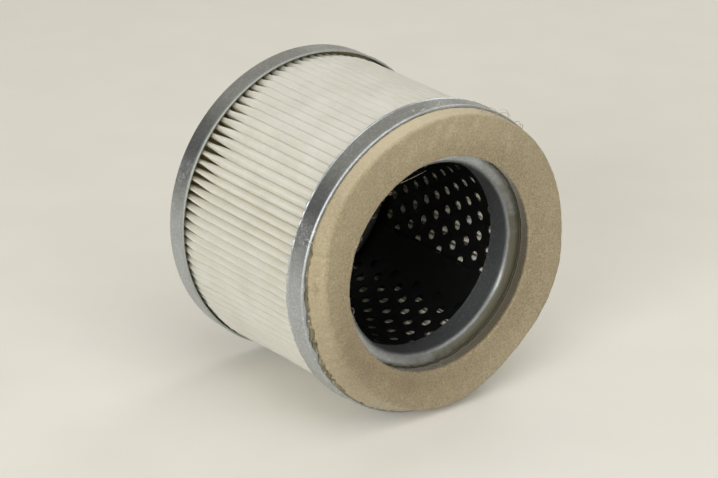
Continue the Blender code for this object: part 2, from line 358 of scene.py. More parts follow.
def add_glue(material):
    """The glue line under the felt, and what it left on the cap's face where it squeezed out."""
    low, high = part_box("gasket_adhesive")
    front, back = low[1] - FACE_Y - 0.1 * MM, high[1] - FACE_Y + 0.15 * MM
    squeeze = 0.15 + 0.55 * bump_at(RING, 210, 34) + 0.35 * bump_at(RING, 20, 60)
    squeeze = (squeeze + 0.7 * bump_at(RING, 240, 11)) * MM
    lumpy = waves(RING, 41, 3, 60, 0.36 * MM) * (0.25 + bump_at(RING, 212, 34))
    ragged = lumpy + waves(RING, 44, 60, 240, 0.09 * MM)
    rim = np.minimum(felt_rim(RING, 1.0) + squeeze + ragged, 46.6 * MM)
    bore = felt_bore(RING, 1.0) - 0.45 * MM + waves(RING, 42, 10, 90, 0.15 * MM)
    bead = 0.26 * MM * (0.4 + bump_at(RING, 215, 35)) * (1 + waves(RING, 43, 12, 170, 0.7))
    bead = np.maximum(bead, 0)
    rows = [
        (bore, front + 0.1 * MM), (bore + 0.3 * MM, front), (bore + 2 * MM, front),
        (rim - 2.4 * MM, front), (rim - 0.9 * MM, front - bead), (rim - 0.3 * MM, front - bead * 0.6),
        (rim, front + 0.2 * MM), (rim, back), (rim - 2 * MM, back), (bore + 2 * MM, back), (bore, back),
    ]
    points = np.concatenate([placed(radius, RING, depth) for radius, depth in rows])
    mesh = tidy_mesh(sheet_mesh("glue_line", points, np.arange(len(rows)) * 0.5 * MM))
    return finish_piece("glue_line", mesh, material, "gasket_glue", "gasket_adhesive", sharp=None)


def fibre_mesh(name, roots, ways, curls, lengths, thickness, steps=5, turn=1.2):
    """Thin tapering three-sided fibres.

    Each leaves its root along its way and turns towards its curl by turn radians.
    """
    t = np.linspace(0, 1, steps)[None, :, None]
    bent = (ways[:, None] * np.sin(t * turn) + curls[:, None] * (1 - np.cos(t * turn))) / turn
    paths = roots[:, None] + lengths[:, None, None] * bent
    ahead = np.gradient(paths, axis=1)
    ahead /= np.linalg.norm(ahead, axis=2, keepdims=True)
    anywhere = np.array([0.31, 0.52, 0.79])
    side = np.cross(ahead, anywhere)
    side /= np.linalg.norm(side, axis=2, keepdims=True)
    over = np.cross(ahead, side)
    taper = thickness * (1 - 0.75 * t)
    corners = [side * math.cos(a) + over * math.sin(a) for a in np.radians((0, 120, 240))]
    points = np.stack([paths + taper * c for c in corners], axis=2).reshape(-1, 3)
    faces = []
    for start in range(0, len(points), steps * 3):
        faces.append((start, start + 2, start + 1))
        end = start + (steps - 1) * 3
        for a in range(start, end, 3):
            faces += [(a + k, a + (k + 1) % 3, a + 3 + (k + 1) % 3, a + 3 + k) for k in range(3)]
        faces.append((end, end + 1, end + 2))
    mesh = bpy.data.meshes.new(name)
    mesh.from_pydata(points, [], faces)
    return mesh


def ring_axes(angle):
    """Unit vectors outwards, round the ring and forwards, at each angle."""
    out = np.stack([np.cos(angle), np.zeros_like(angle), np.sin(angle)], -1)
    round_it = np.stack([-np.sin(angle), np.zeros_like(angle), np.cos(angle)], -1)
    front = np.broadcast_to(np.array([0.0, -1.0, 0.0]), out.shape)
    return out, round_it, front


def add_nap(material):
    """Short fibres that stand up from the felt's face, its rim and the edge of its bore."""
    draw = np.random.default_rng(51)
    roots, ways, curls, lengths = [], [], [], []
    for count, place, longest in ((2600, "rim", 1.0), (1500, "bore", 1.0), (5200, "face", 0.6)):
        angle = draw.uniform(0, 2 * np.pi, count)
        out, _, front = ring_axes(angle)
        if place == "face":
            rim, bore = felt_rim(angle, 0.15), felt_bore(angle, 0.15)
            radius = bore + (rim - bore) * draw.uniform(0.04, 0.96, count)
            base, lift = placed(radius, angle, FELT_FRONT + 0.2 * MM), front
        elif place == "rim":
            deep = draw.uniform(0.05, 0.9, count)
            radius = felt_rim(angle, deep) - 0.35 * MM
            base, lift = placed(radius, angle, FELT_FRONT + deep * FELT_THICKNESS), out
        else:
            deep = draw.uniform(0.02, 0.5, count)
            radius = felt_bore(angle, deep) + 0.35 * MM
            base, lift = placed(radius, angle, FELT_FRONT + deep * FELT_THICKNESS), -out
        astray = 0.5 * draw.normal(0, 1, (count, 3))
        way = lift * draw.uniform(0.25, 0.9, (count, 1)) + astray
        roots.append(base)
        ways.append(way / np.linalg.norm(way, axis=1, keepdims=True))
        curls.append(draw.normal(0, 0.5, (count, 3)))
        lengths.append(draw.uniform(0.3, 1.0, count) ** 1.5 * longest * MM)
    fibres = [np.concatenate(each) for each in (roots, ways, curls, lengths)]
    mesh = fibre_mesh("felt_nap", *fibres, thickness=0.024 * MM)
    return finish_piece("felt_nap", mesh, material, "wool_felt", sharp=None)


def add_stray_fibres(material):
    """Long loose fibres.

    Each has its root's angle in degrees and radius and depth in millimetres, the shares of its way
    out, round and forwards, its length in millimetres, and the same shares of its curl.
    """
    strays = [
        (72, 46.0, -3.6, 1.0, -0.3, 0.1, 7.8, -0.1, -1.0, 0.1),
        (66, 46.0, -4.2, 0.9, -0.5, 0.3, 7.4, 0.0, -0.9, 0.2),
        (60, 46.0, -4.0, 0.9, -0.7, 0.2, 7.0, 0.3, 0.9, 0.1),
        (55, 46.0, -3.8, 0.9, 0.3, 0.4, 6.6, -0.2, -0.9, -0.2),
        (50, 45.9, -3.4, 1.0, -0.4, 0.0, 6.0, -0.2, 0.9, 0.3),
        (118, 33.6, -5.0, -0.3, -1.0, 0.1, 12.0, 0.15, 0.22, 0.0),
        (125, 33.8, -4.8, -0.9, -0.5, 0.3, 3.4, 0.4, 0.6, 0.2),
        (140, 33.9, -4.6, -0.8, 0.3, 0.2, 2.8, -0.3, -0.6, 0.2),
        (151, 33.9, -4.9, -0.7, 0.6, 0.5, 2.6, 0.5, 0.5, 0.0),
        (188, 33.2, -4.4, -1.0, 0.3, 0.3, 3.2, 0.3, 0.9, 0.1),
        (196, 33.2, -4.2, -1.0, -0.5, 0.0, 3.6, 0.6, -0.9, 0.3),
        (205, 33.1, -4.6, -0.9, 0.5, 0.4, 3.4, 0.9, -0.5, 0.0),
        (213, 33.0, -4.0, -0.8, 0.7, -0.3, 3.0, 0.4, 0.8, -0.4),
        (93, 47.2, 1.0, 0.6, 0.7, 0.2, 5.0, -0.7, 0.5, 0.0),
        (97, 47.2, 3.0, 0.5, -0.8, 0.2, 4.4, -0.4, 0.6, 0.3),
        (88, 47.3, 0.6, 0.7, 0.2, 0.5, 3.2, 0.7, -0.4, 0.0),
        (158, 46.6, -1.0, 0.5, 0.9, 0.5, 4.0, 0.3, -0.3, -0.3),
        (160, 47.0, 0.2, 0.4, -0.9, 0.2, 4.4, -0.3, 0.2, 0.6),
    ]
    columns = np.array(strays).T[:, :, None]
    degrees, radius, depth, length = columns[[0, 1, 2, 6], :, 0]
    angle = np.radians(degrees)
    axes = ring_axes(angle)
    ways = sum(axis * share for axis, share in zip(axes, columns[3:6]))
    ways /= np.linalg.norm(ways, axis=1, keepdims=True)
    curls = 1.2 * sum(axis * share for axis, share in zip(axes, columns[7:]))
    is_long, on_rim = columns[6] > 8, columns[1] > 40
    turns = np.where(is_long, 0.9, 3.4)[:, :, None]
    thickness = np.where(on_rim, 0.13 * MM, 0.045 * MM)[:, :, None]
    roots = placed(radius * MM, angle, depth * MM)
    mesh = fibre_mesh("stray_fibres", roots, ways, curls, length * MM, thickness, steps=18, turn=turns)
    return finish_piece("stray_fibres", mesh, material, "wool_felt", sharp=None)


# Core tube ----------------------------------------------------------------------------------------


def hole_cell(bm, center, open_hole):
    """One cell of the perforated sheet: six-sided outside, with a round hole or a plain middle."""
    a, b = COLUMN_PITCH, RING_PITCH / 3
    corners = [(a, -b), (a, b), (0, 2 * b), (-a, b), (-a, -b), (0, -2 * b)]
    rim = []
    for here, there in zip(corners, corners[1:] + corners[:1]):
        rim += [here, ((here[0] + there[0]) / 2, (here[1] + there[1]) / 2)]
    ring = []
    for here, there in zip(rim, rim[1:] + rim[:1]):
        angle = math.atan2(here[1], here[0])
        half = (math.atan2(there[1], there[0]) - angle) % (2 * math.pi) / 2
        for turn in (angle, angle + half):
            ring.append((HOLE_RADIUS * math.cos(turn), HOLE_RADIUS * math.sin(turn)))
    verts = [bm.verts.new((center[0] + x, center[1] + y, 0)) for x, y in rim]
    hole = [bm.verts.new((center[0] + x, center[1] + y, 0)) for x, y in ring]
    for k in range(len(rim)):
        inner = [hole[(2 * k + 2) % len(hole)], hole[2 * k + 1], hole[2 * k]]
        bm.faces.new([verts[k], verts[(k + 1) % len(rim)], *inner])
    if not open_hole:
        bm.faces.new(hole)


def add_core(material):
    """The perforated sheet: laid flat with cells past its edges, cut to size and then rolled up."""
    turn = 2 * math.pi * (CORE_INSIDE + (CORE_SHEET + CORE_STEP) / 2)
    length = turn + CORE_LAP
    low, high = CORE_LOW[1] - FACE_Y, CORE_HIGH[1] - FACE_Y
    bm = bmesh.new()
    for ring in range(-2, RINGS + 2):
        for column in range(-6, int((length - CORE_MARGIN) / COLUMN_PITCH) + 3):
            if (ring + column) % 2:
                continue
            center = (CORE_MARGIN + column * COLUMN_PITCH, FIRST_RING + ring * RING_PITCH)
            is_open = 0 <= ring < RINGS and column >= 0 and center[0] + 2 * HOLE_RADIUS < length
            hole_cell(bm, center, is_open)
    bmesh.ops.remove_doubles(bm, verts=bm.verts, dist=0.01 * MM)
    start, end = (0, 0, 0), (length, 0, 0)
    front, rear = (0, low, 0), (0, high, 0)
    for place, way in ((start, (-1, 0, 0)), (end, (1, 0, 0)), (front, (0, -1, 0)), (rear, (0, 1, 0))):
        everything = bm.verts[:] + bm.edges[:] + bm.faces[:]
        bmesh.ops.bisect_plane(bm, geom=everything, plane_co=place, plane_no=way, clear_outer=True)
    bmesh.ops.recalc_face_normals(bm, faces=bm.faces)
    bmesh.ops.solidify(bm, geom=bm.faces[:], thickness=CORE_SHEET)
    lowest = min(v.co.z for v in bm.verts)
    for vert in bm.verts:
        along, depth, thick = vert.co.x, vert.co.y, vert.co.z - lowest
        angle = CORE_SEAM_ANGLE - 2 * math.pi * along / turn
        radius = CORE_INSIDE + CORE_STEP * along / turn + thick
        vert.co = (radius * math.cos(angle), FACE_Y + depth, AXIS_Z + radius * math.sin(angle))
    bmesh.ops.recalc_face_normals(bm, faces=bm.faces)
    mesh = bpy.data.meshes.new("perforated_core")
    bm.to_mesh(mesh)
    bm.free()
    return finish_piece("perforated_core", mesh, material, "black_steel", "core_tube", sharp=40)


# Pleats -------------------------------------------------------------------------------------------


def pleat_lean(tips, depth):
    """How far each pleat's outer fold leans round the ring, in metres, at each depth."""
    draw = np.random.default_rng(61)
    each = draw.normal(0, 1, len(tips))[:, None]
    twist = draw.normal(0, 1, len(tips))[:, None]
    loose = 0.25 + 0.75 * bump_at(tips, 150, 26)[:, None]
    share = depth[None, :] / CAPS_LENGTH
    settled = np.sin(np.pi * np.clip(share, 0, 1)) ** 0.5
    together = 0.30 * waves(tips, 62, 2, 9, 1.0)[:, None] * settled
    alone = loose * (0.17 * each * settled + 0.12 * twist * (share - 0.5))
    return (together + alone) * MM


def rear_pinch(tips, depth):
    """0 along a pleat, rising to 1 where the rear potting pinches its fold together.

    The pinch reaches furthest forwards at the upper left.
    """
    draw = np.random.default_rng(63)
    reach = 2.6 + 8.2 * bump_at(tips, 148, 18) + 0.6 * bump_at(tips, 205, 30)
    reach = (reach * draw.uniform(0.7, 1.25, len(tips)))[:, None] * MM
    to_lip = np.maximum(CAPS_LENGTH - CAP_RIM - depth, 0)[None, :]
    return np.clip(1 - to_lip / reach, 0, 1) ** 1.2


def fold_widths(tips, depth, lean, pinch):
    """Half-widths of each outer fold before and after its tip.

    The folds fill their room, but for their pinched ends.
    """
    centers = tips[:, None] * MEDIA_OUTSIDE + lean
    around = 2 * np.pi * MEDIA_OUTSIDE
    room_after = (np.roll(centers, -1, axis=0) - centers) % around
    room_before = np.roll(room_after, 1, axis=0)
    squeeze = 0.42 + 0.14 * bump_at(tips, 150, 25)[:, None]
    front_pinch = np.exp(-((np.maximum(depth - CAP_RIM, 0) / (1.6 * MM)) ** 2))[None, :]
    kept = (1 - squeeze * pinch) * (1 - 0.06 * front_pinch)
    touching = np.stack([room_before, room_after]) - MEDIA_SHEET + 0.02 * MM
    widest = 3.3 * MM
    return np.minimum(touching, widest) / 2 * kept


def fold_height(across, crest):
    """Height of a fold's top from 0 to 1: across runs from -1 to 1, and the crest is at crest."""
    away = np.where(across < crest, (crest - across) / (1 + crest), (across - crest) / (1 - crest))
    blunt = 0.22
    return 1 - (np.sqrt(away**2 + blunt**2) - blunt) / (math.sqrt(1 + blunt**2) - blunt)


# Stations along the sheet: across a fold's top from side to side, and down a leg from its fold.
TOP_POINTS = (-1.0, -0.96, -0.8, -0.6, -0.4, -0.2, 0.0, 0.25, 0.5, 0.75, 0.96, 1.0)
LEG_POINTS = (0.05, 0.3, 0.6, 1.0)


def pleat_stations(tips, depth):
    """Rows of (radius, angle) arrays along the folded sheet, each with one value for each depth."""
    lean = pleat_lean(tips, depth)
    pinch = rear_pinch(tips, depth)
    before, after = fold_widths(tips, depth, lean, pinch)
    relief = (0.12 + 1.2 * bump_at(tips, 161, 22))[:, None] * MM
    rise = relief * (1 - pinch) + np.maximum(relief, 0.5 * (before + after)) * pinch
    crest = 0.55 * bump_at(tips, 172, 20) - 0.45 * bump_at(tips, 126, 18)
    swell = 0.7 * bump_at(tips, 240, 36)[:, None] * np.clip((depth - 40 * MM) / (20 * MM), 0, 1)
    top = MEDIA_OUTSIDE - MEDIA_SHEET / 2 - 0.45 * MM * pinch**2 + swell * MM
    shoulder = top - rise
    inner = MEDIA_INSIDE + MEDIA_SHEET / 2
    root = inner + VALLEY_BEND
    half_pitch = np.pi * MEDIA_INSIDE / PLEATS
    inner_half = half_pitch / 2
    rows = []

    def add(pleat, radius, across):
        radius = np.broadcast_to(radius, depth.shape)
        rows.append((radius, tips[pleat] + across / radius))

    def seam_leg(side, shares):
        end_radius, end_half = MEDIA_OUTSIDE - 0.6 * MM, 0.35 * MM + MEDIA_SHEET / 2
        for share in shares:
            radius = end_radius * (1 - share) + root * share
            add(0, radius, side * (end_half * (1 - share) + inner_half * share))

    def leg(pleat, side, half_width, shares):
        for share in shares:
            bulge = 0.10 * MM * np.sin(np.pi * share)
            half = half_width[pleat] * (1 - share) + inner_half * share + bulge
            radius = shoulder[pleat] * (1 - share) + root * share
            add(pleat, radius, side * half + lean[pleat] * (1 - share) ** 1.5)

    def valley(pleat):
        for turn in np.radians((-60, 0, 60)):
            radius = inner + VALLEY_BEND * (1 - math.cos(turn))
            add(pleat, radius, half_pitch + (half_pitch - inner_half) * math.sin(turn))

    def fold_top(pleat):
        for across in TOP_POINTS:
            height = fold_height(across, crest[pleat]) - 0.05 * (abs(across) == 1)
            half_width = before if across < 0 else after
            radius = shoulder[pleat] + rise[pleat] * height
            add(pleat, radius, lean[pleat] + half_width[pleat] * across)

    seam_leg(1, LEG_POINTS)
    valley(0)
    for pleat in range(1, PLEATS):
        leg(pleat, -1, before, LEG_POINTS[::-1])
        fold_top(pleat)
        leg(pleat, 1, after, LEG_POINTS)
        valley(pleat)
    seam_leg(-1, LEG_POINTS[::-1])
    return rows


def add_media(material):
    """The folded sheet, with its cross-sections closest together towards its pinched rear."""
    tips = MEDIA_SEAM_ANGLE + np.arange(PLEATS) * 2 * np.pi / PLEATS
    low, high = MEDIA_LOW[1] - FACE_Y, MEDIA_HIGH[1] - FACE_Y
    front_end, rear_start = 20 * MM, 42 * MM
    front = np.linspace(low, front_end, 10)[:-1]
    middle = np.linspace(front_end, rear_start, 9)[:-1]
    rear = np.linspace(rear_start, high, 20)
    depth = np.concatenate([front, middle, rear])
    rows = pleat_stations(tips, depth)
    radius = np.stack([r for r, _ in rows])
    angle = np.stack([a for _, a in rows])
    outer = np.clip((radius - 43 * MM) / (3 * MM), 0, 1)
    uneven = ripples(angle, depth[None, :], 64, (20, 160), (10, 90), 0.05 * MM)
    radius = radius - outer * (0.12 * MM + uneven)
    along = np.arange(len(rows)) * MM
    mesh = sheet_mesh("pleats", placed(radius, angle, depth[None, :]), along, closed=False)
    piece = finish_piece("pleats", mesh, material, "filter_media", "pleated_media", sharp=None)
    wall = piece.modifiers.new("sheet", "SOLIDIFY")
    wall.thickness = MEDIA_SHEET
    wall.offset = 0
    return piece


# Materials ----------------------------------------------------------------------------------------


class Surface:
    """A Principled material with short calls for the nodes that drive it."""

    def __init__(self, name, **constants):
        self.material = bpy.data.materials.new(name)
        self.material.use_nodes = True
        self.tree = self.material.node_tree
        self.shader = self.tree.nodes["Principled BSDF"]
        for socket, value in constants.items():
            self.shader.inputs[socket.replace("_", " ")].default_value = value
        place = self.add("ShaderNodeTexCoord").outputs["Object"]
        self.local = self.vector("SUBTRACT", place, (0, FACE_Y, AXIS_Z))
        flat = self.vector("MULTIPLY", self.local, (1, 0, 1))
        self.radius = self.add("ShaderNodeVectorMath", {0: flat}, operation="LENGTH").outputs["Value"]
        split = self.add("ShaderNodeSeparateXYZ", {0: self.local}).outputs
        self.x, self.depth, self.z = split["X"], split["Y"], split["Z"]

    def add(self, kind, inputs=None, **settings):
        node = self.tree.nodes.new(kind)
        for key, value in settings.items():
            setattr(node, key, value)
        for key, value in (inputs or {}).items():
            if isinstance(value, bpy.types.NodeSocket):
                self.tree.links.new(value, node.inputs[key])
            else:
                node.inputs[key].default_value = value
        return node

    def vector(self, operation, a, b):
        return self.add("ShaderNodeVectorMath", {0: a, 1: b}, operation=operation).outputs["Vector"]

    def math(self, operation, a, b=0.0, clamp=False):
        """A calculation; clamp holds its result within 0 and 1."""
        node = self.add("ShaderNodeMath", {0: a, 1: b}, operation=operation, use_clamp=clamp)
        return node.outputs["Value"]

    def times(self, first, *others):
        """The product of them all."""
        for other in others:
            first = self.math("MULTIPLY", first, other)
        return first

    def most(self, first, *others):
        """The greatest of them all."""
        for other in others:
            first = self.math("MAXIMUM", first, other)
        return first

    def noise(self, scale, detail=3.0, roughness=0.5, vector=None, distortion=0.0):
        inputs = {"Vector": vector or self.local, "Scale": scale, "Detail": detail,
                  "Roughness": roughness, "Distortion": distortion}
        return self.add("ShaderNodeTexNoise", inputs).outputs["Fac"]

    def spread(self, value, low, high, to_low=0.0, to_high=1.0):
        """Maps low..high to to_low..to_high, and holds it there."""
        inputs = {"Value": value, "From Min": low, "From Max": high, "To Min": to_low, "To Max": to_high}
        return self.add("ShaderNodeMapRange", inputs).outputs["Result"]

    def mix(self, share, a, b):
        """Colour a where share is 0 and b where it is 1."""
        node = self.add("ShaderNodeMix", data_type="RGBA", blend_type="MIX")
        for socket, value in ((node.inputs[0], share), (node.inputs[6], a), (node.inputs[7], b)):
            if isinstance(value, bpy.types.NodeSocket):
                self.tree.links.new(value, socket)
            else:
                socket.default_value = (*value, 1.0) if isinstance(value, tuple) else value
        return node.outputs[2]

    def bump(self, height, strength, distance, normal=None):
        inputs = {"Height": height, "Strength": strength, "Distance": distance}
        if normal:
            inputs["Normal"] = normal
        return self.add("ShaderNodeBump", inputs).outputs["Normal"]

    def near(self, degrees, width):
        """1 at an angle about the axis, fading to 0 at width degrees from it."""
        angle = self.math("ARCTAN2", self.z, self.x)
        cosine = self.math("COSINE", self.math("SUBTRACT", angle, math.radians(degrees)))
        return self.spread(cosine, math.cos(math.radians(width)), 1.0)

    def fading(self, value, center, width):
        """1 where the value is at center, fading to 0 at width from it."""
        off = self.math("ABSOLUTE", self.math("SUBTRACT", value, center))
        return self.spread(off, width, 0.0)

    def scratches(self, degrees, width, stretch, scale):
        """Fine lines about an angle round the axis, drawn where a stretched noise is half way."""
        lines = self.noise(scale, 1.0, 0.5, self.vector("MULTIPLY", self.local, stretch), 3.0)
        off = self.math("ABSOLUTE", self.math("SUBTRACT", lines, 0.5))
        return self.times(self.spread(off, 0.028, 0.010), self.near(degrees, width))

    def finish(self, color, roughness, normal=None, metallic=None):
        for socket, value in (("Base Color", color), ("Roughness", roughness), ("Normal", normal),
                              ("Metallic", metallic)):
            if value is not None:
                self.tree.links.new(value, self.shader.inputs[socket])
        return self.material


def galvanised_steel():
    """Zinc with a fine grain, drawn streaks that follow the outline, and local wear and dirt, with
    painted shade in the neck's bend and a painted highlight along the front lip.
    """
    s = Surface("galvanised")
    drawn = s.add("ShaderNodeUVMap", uv_map="drawn").outputs["UV"]
    along = s.times(s.add("ShaderNodeSeparateXYZ", {0: drawn}).outputs["Y"], 9.0)
    slow = s.add("ShaderNodeSeparateXYZ", {0: s.vector("MULTIPLY", s.local, (60, 60, 60))}).outputs
    streaked = s.add("ShaderNodeCombineXYZ", {0: slow["X"], 1: along, 2: slow["Z"]}).outputs[0]
    streaks = s.noise(1.0, 4.0, 0.65, streaked)
    fine = s.noise(2.6, 3.0, 0.6, streaked)
    cloud = s.noise(220.0, 3.0, 0.6)
    grain = s.noise(2200.0, 2.0, 0.6)
    flecks = s.noise(1300.0, 3.0, 0.7)
    on_flange = s.spread(s.radius, 45.0 * MM, 45.6 * MM)

    # Painted shade and a painted reflection of the dark felt wall on the neck's bend, with some dirt;
    # most at the lower right
    in_bore = s.times(s.spread(s.radius, NECK_BORE + 0.05 * MM, NECK_BORE + 0.8 * MM),
                      s.spread(s.radius, 36 * MM, 35 * MM), s.spread(s.depth, 4 * MM, 2 * MM))
    dirt_and_shade_amount = s.math("ADD", s.times(s.near(-32, 92), 1.05), s.spread(cloud, 0.35, 0.65, 0.05, 0.35))
    bore_dirt_and_painted_shade = s.math("MULTIPLY", in_bore, dirt_and_shade_amount, clamp=True)

    # Bare metal along the front flange's lip, whitened at the upper left as a painted highlight, and
    # dull wear along the rear one's
    lip = s.times(s.spread(s.depth, CAP_RIM - 0.9 * MM, CAP_RIM - 0.3 * MM),
                  s.spread(s.depth, 6.5 * MM, 6.0 * MM))
    ragged = s.spread(s.noise(420.0, 3.0, 0.7), 0.38, 0.52)
    bare_edge_and_painted_highlight = s.times(lip, ragged, s.near(136, 75), on_flange)
    worn = s.times(s.fading(s.depth, CAPS_LENGTH - CAP_RIM - 0.1 * MM, 1.3 * MM), on_flange)
    scratches = s.most(s.scratches(158, 9, (1, 0.5, 1), 700.0), s.scratches(84, 8, (1, 1.4, 0.6), 900.0))
    corner = s.times(s.spread(s.depth, 1.0 * MM, 0.4 * MM), s.spread(s.radius, 46.2 * MM, 46.6 * MM))

    tone = s.math("ADD", s.times(streaks, 0.55), s.times(cloud, 0.45))
    color = s.mix(s.spread(tone, 0.3, 0.7), (0.375, 0.40, 0.42), (0.53, 0.555, 0.575))
    color = s.mix(s.spread(grain, 0.58, 0.75, 0.0, 0.6), color, (0.24, 0.25, 0.25))
    color = s.mix(s.spread(flecks, 0.50, 0.64, 0.0, 0.7), color, (0.66, 0.68, 0.69))
    # painted shade, with some dirt, darkens the neck's bend beside the felt
    color = s.mix(s.times(bore_dirt_and_painted_shade, 0.95), color, (0.072, 0.065, 0.034))
    color = s.mix(scratches, color, (0.80, 0.81, 0.82))
    # painted highlight: the front lip's bare edge is made near white at the upper left
    color = s.mix(bare_edge_and_painted_highlight, color, (0.95, 0.955, 0.96))
    color = s.mix(s.times(worn, 0.8), color, (0.30, 0.32, 0.27))

    metallic = s.math("SUBTRACT", 0.92, s.most(s.times(bore_dirt_and_painted_shade, 0.9), s.times(scratches, 0.6)))
    metallic = s.math("SUBTRACT", metallic, s.times(s.most(bare_edge_and_painted_highlight, worn), 0.75), clamp=True)
    roughness = s.spread(s.math("ADD", fine, streaks), 0.7, 1.3, 0.29, 0.39)
    roughness = s.math("ADD", roughness, s.times(s.most(bare_edge_and_painted_highlight, worn, s.times(corner, 0.7)), 0.25))
    normal = s.bump(grain, 0.25, 0.04 * MM, s.bump(streaks, 0.15, 0.06 * MM))
    return s.finish(color, roughness, normal, metallic)


def wool_felt():
    """Matted hairs, paler on the outer wall with painted light towards its top, soiled low down, and
    with painted shade on the bore's wall.
    """
    s = Surface("felt", Sheen_Weight=0.25, Sheen_Roughness=0.5, Specular_IOR_Level=0.15)
    blotch = s.noise(55.0, 4.0, 0.6)
    mottle = s.noise(1500.0, 3.0, 0.65)
    hairs = s.most(s.noise(1.0, 3.0, 0.7, s.vector("MULTIPLY", s.local, (900, 900, 3400)), 0.8),
                   s.noise(1.0, 3.0, 0.7, s.vector("MULTIPLY", s.local, (3400, 900, 900)), 0.8))
    tone = s.math("ADD", s.times(mottle, 0.8), s.times(blotch, 0.2))
    color = s.mix(s.spread(tone, 0.35, 0.65), (0.215, 0.172, 0.10), (0.39, 0.322, 0.202))
    color = s.mix(s.spread(hairs, 0.55, 0.8, 0.0, 0.55), color, (0.60, 0.51, 0.355))

    # The outer wall is paler all round, and paler still towards its top as painted light
    wall = s.times(s.spread(s.depth, -5.6 * MM, -4.3 * MM), s.spread(s.radius, 36 * MM, 40 * MM))
    pale_wall_and_painted_light = s.times(wall, s.spread(s.z, 28 * MM, 45 * MM, 0.28, 0.75))
    color = s.mix(pale_wall_and_painted_light, color, (0.64, 0.56, 0.39))
    dirt = s.times(s.near(232, 62), s.fading(s.radius, 36.5 * MM, 12 * MM), s.spread(blotch, 0.25, 0.6))
    color = s.mix(s.times(dirt, 0.8), color, (0.20, 0.15, 0.088))
    # Painted shade on the felt's bore wall
    painted_bore_wall_shade = s.times(s.spread(s.radius, 34.5 * MM, 32.6 * MM), s.spread(s.depth, -5.1 * MM, -4.0 * MM))
    color = s.mix(s.times(painted_bore_wall_shade, 0.92), color, (0.085, 0.068, 0.036))
    spots = s.spread(s.noise(230.0, 3.0, 0.6), 0.56, 0.66)
    soiled = s.times(spots, s.near(196, 34), s.spread(s.depth, -5.0 * MM, -3.6 * MM))
    color = s.mix(s.times(soiled, 0.65), color, (0.20, 0.155, 0.09))

    roughness = s.spread(mottle, 0.3, 0.7, 0.86, 0.98)
    normal = s.bump(mottle, 0.6, 0.25 * MM, s.bump(hairs, 0.55, 0.3 * MM))
    return s.finish(color, roughness, normal)


def loose_fibre():
    """Pale hairs, darker where they stand on the felt's outer wall."""
    s = Surface("fibre", Sheen_Weight=0.2, Specular_IOR_Level=0.3)
    tone = s.noise(300.0, 2.0)
    color = s.mix(s.spread(tone, 0.35, 0.65), (0.62, 0.55, 0.42), (0.84, 0.79, 0.68))
    outer = s.times(s.spread(s.radius, 44.5 * MM, 46.2 * MM), s.spread(s.depth, -0.5 * MM, -2 * MM))
    color = s.mix(s.times(outer, 0.8), color, (0.36, 0.30, 0.20))
    return s.finish(color, s.spread(tone, 0.3, 0.7, 0.55, 0.75))


def contact_glue():
    """Olive glue with pale lint in it outside the felt, and darkened in the bore as painted shade at the
    felt's foot.
    """
    s = Surface("glue", Specular_IOR_Level=0.4)
    lumps = s.noise(700.0, 4.0, 0.6)
    stain = s.noise(180.0, 3.0)
    color = s.mix(s.spread(stain, 0.35, 0.65), (0.10, 0.09, 0.048), (0.22, 0.19, 0.115))
    lint = s.times(s.spread(lumps, 0.55, 0.72, 0.0, 0.8), s.spread(s.radius, 34 * MM, 40 * MM))
    color = s.mix(lint, color, (0.50, 0.46, 0.36))
    # painted shade: the glue is darkened in the bore, at the foot of the felt's wall
    color = s.mix(s.spread(s.radius, 37 * MM, 35 * MM, 0.0, 0.9), color, (0.045, 0.04, 0.022))
    return s.finish(color, s.spread(lumps, 0.3, 0.7, 0.35, 0.75), s.bump(lumps, 0.6, 0.3 * MM))


def potting_compound():
    s = Surface("potting", Specular_IOR_Level=0.4)
    flow = s.noise(160.0, 3.0)
    pits = s.noise(900.0, 3.0)
    color = s.mix(s.spread(flow, 0.3, 0.7), (0.40, 0.32, 0.15), (0.50, 0.42, 0.23))
    return s.finish(color, s.spread(pits, 0.3, 0.7, 0.35, 0.6), s.bump(pits, 0.3, 0.2 * MM))


def black_steel():
    s = Surface("black_paint", Specular_IOR_Level=0.2)
    dust = s.noise(500.0, 4.0, 0.6)
    peel = s.noise(1600.0, 2.0)
    color = s.mix(s.spread(dust, 0.5, 0.8, 0.0, 0.5), (0.004, 0.004, 0.004), (0.012, 0.011, 0.010))
    return s.finish(color, s.spread(dust, 0.3, 0.7, 0.42, 0.6), s.bump(peel, 0.2, 0.05 * MM))


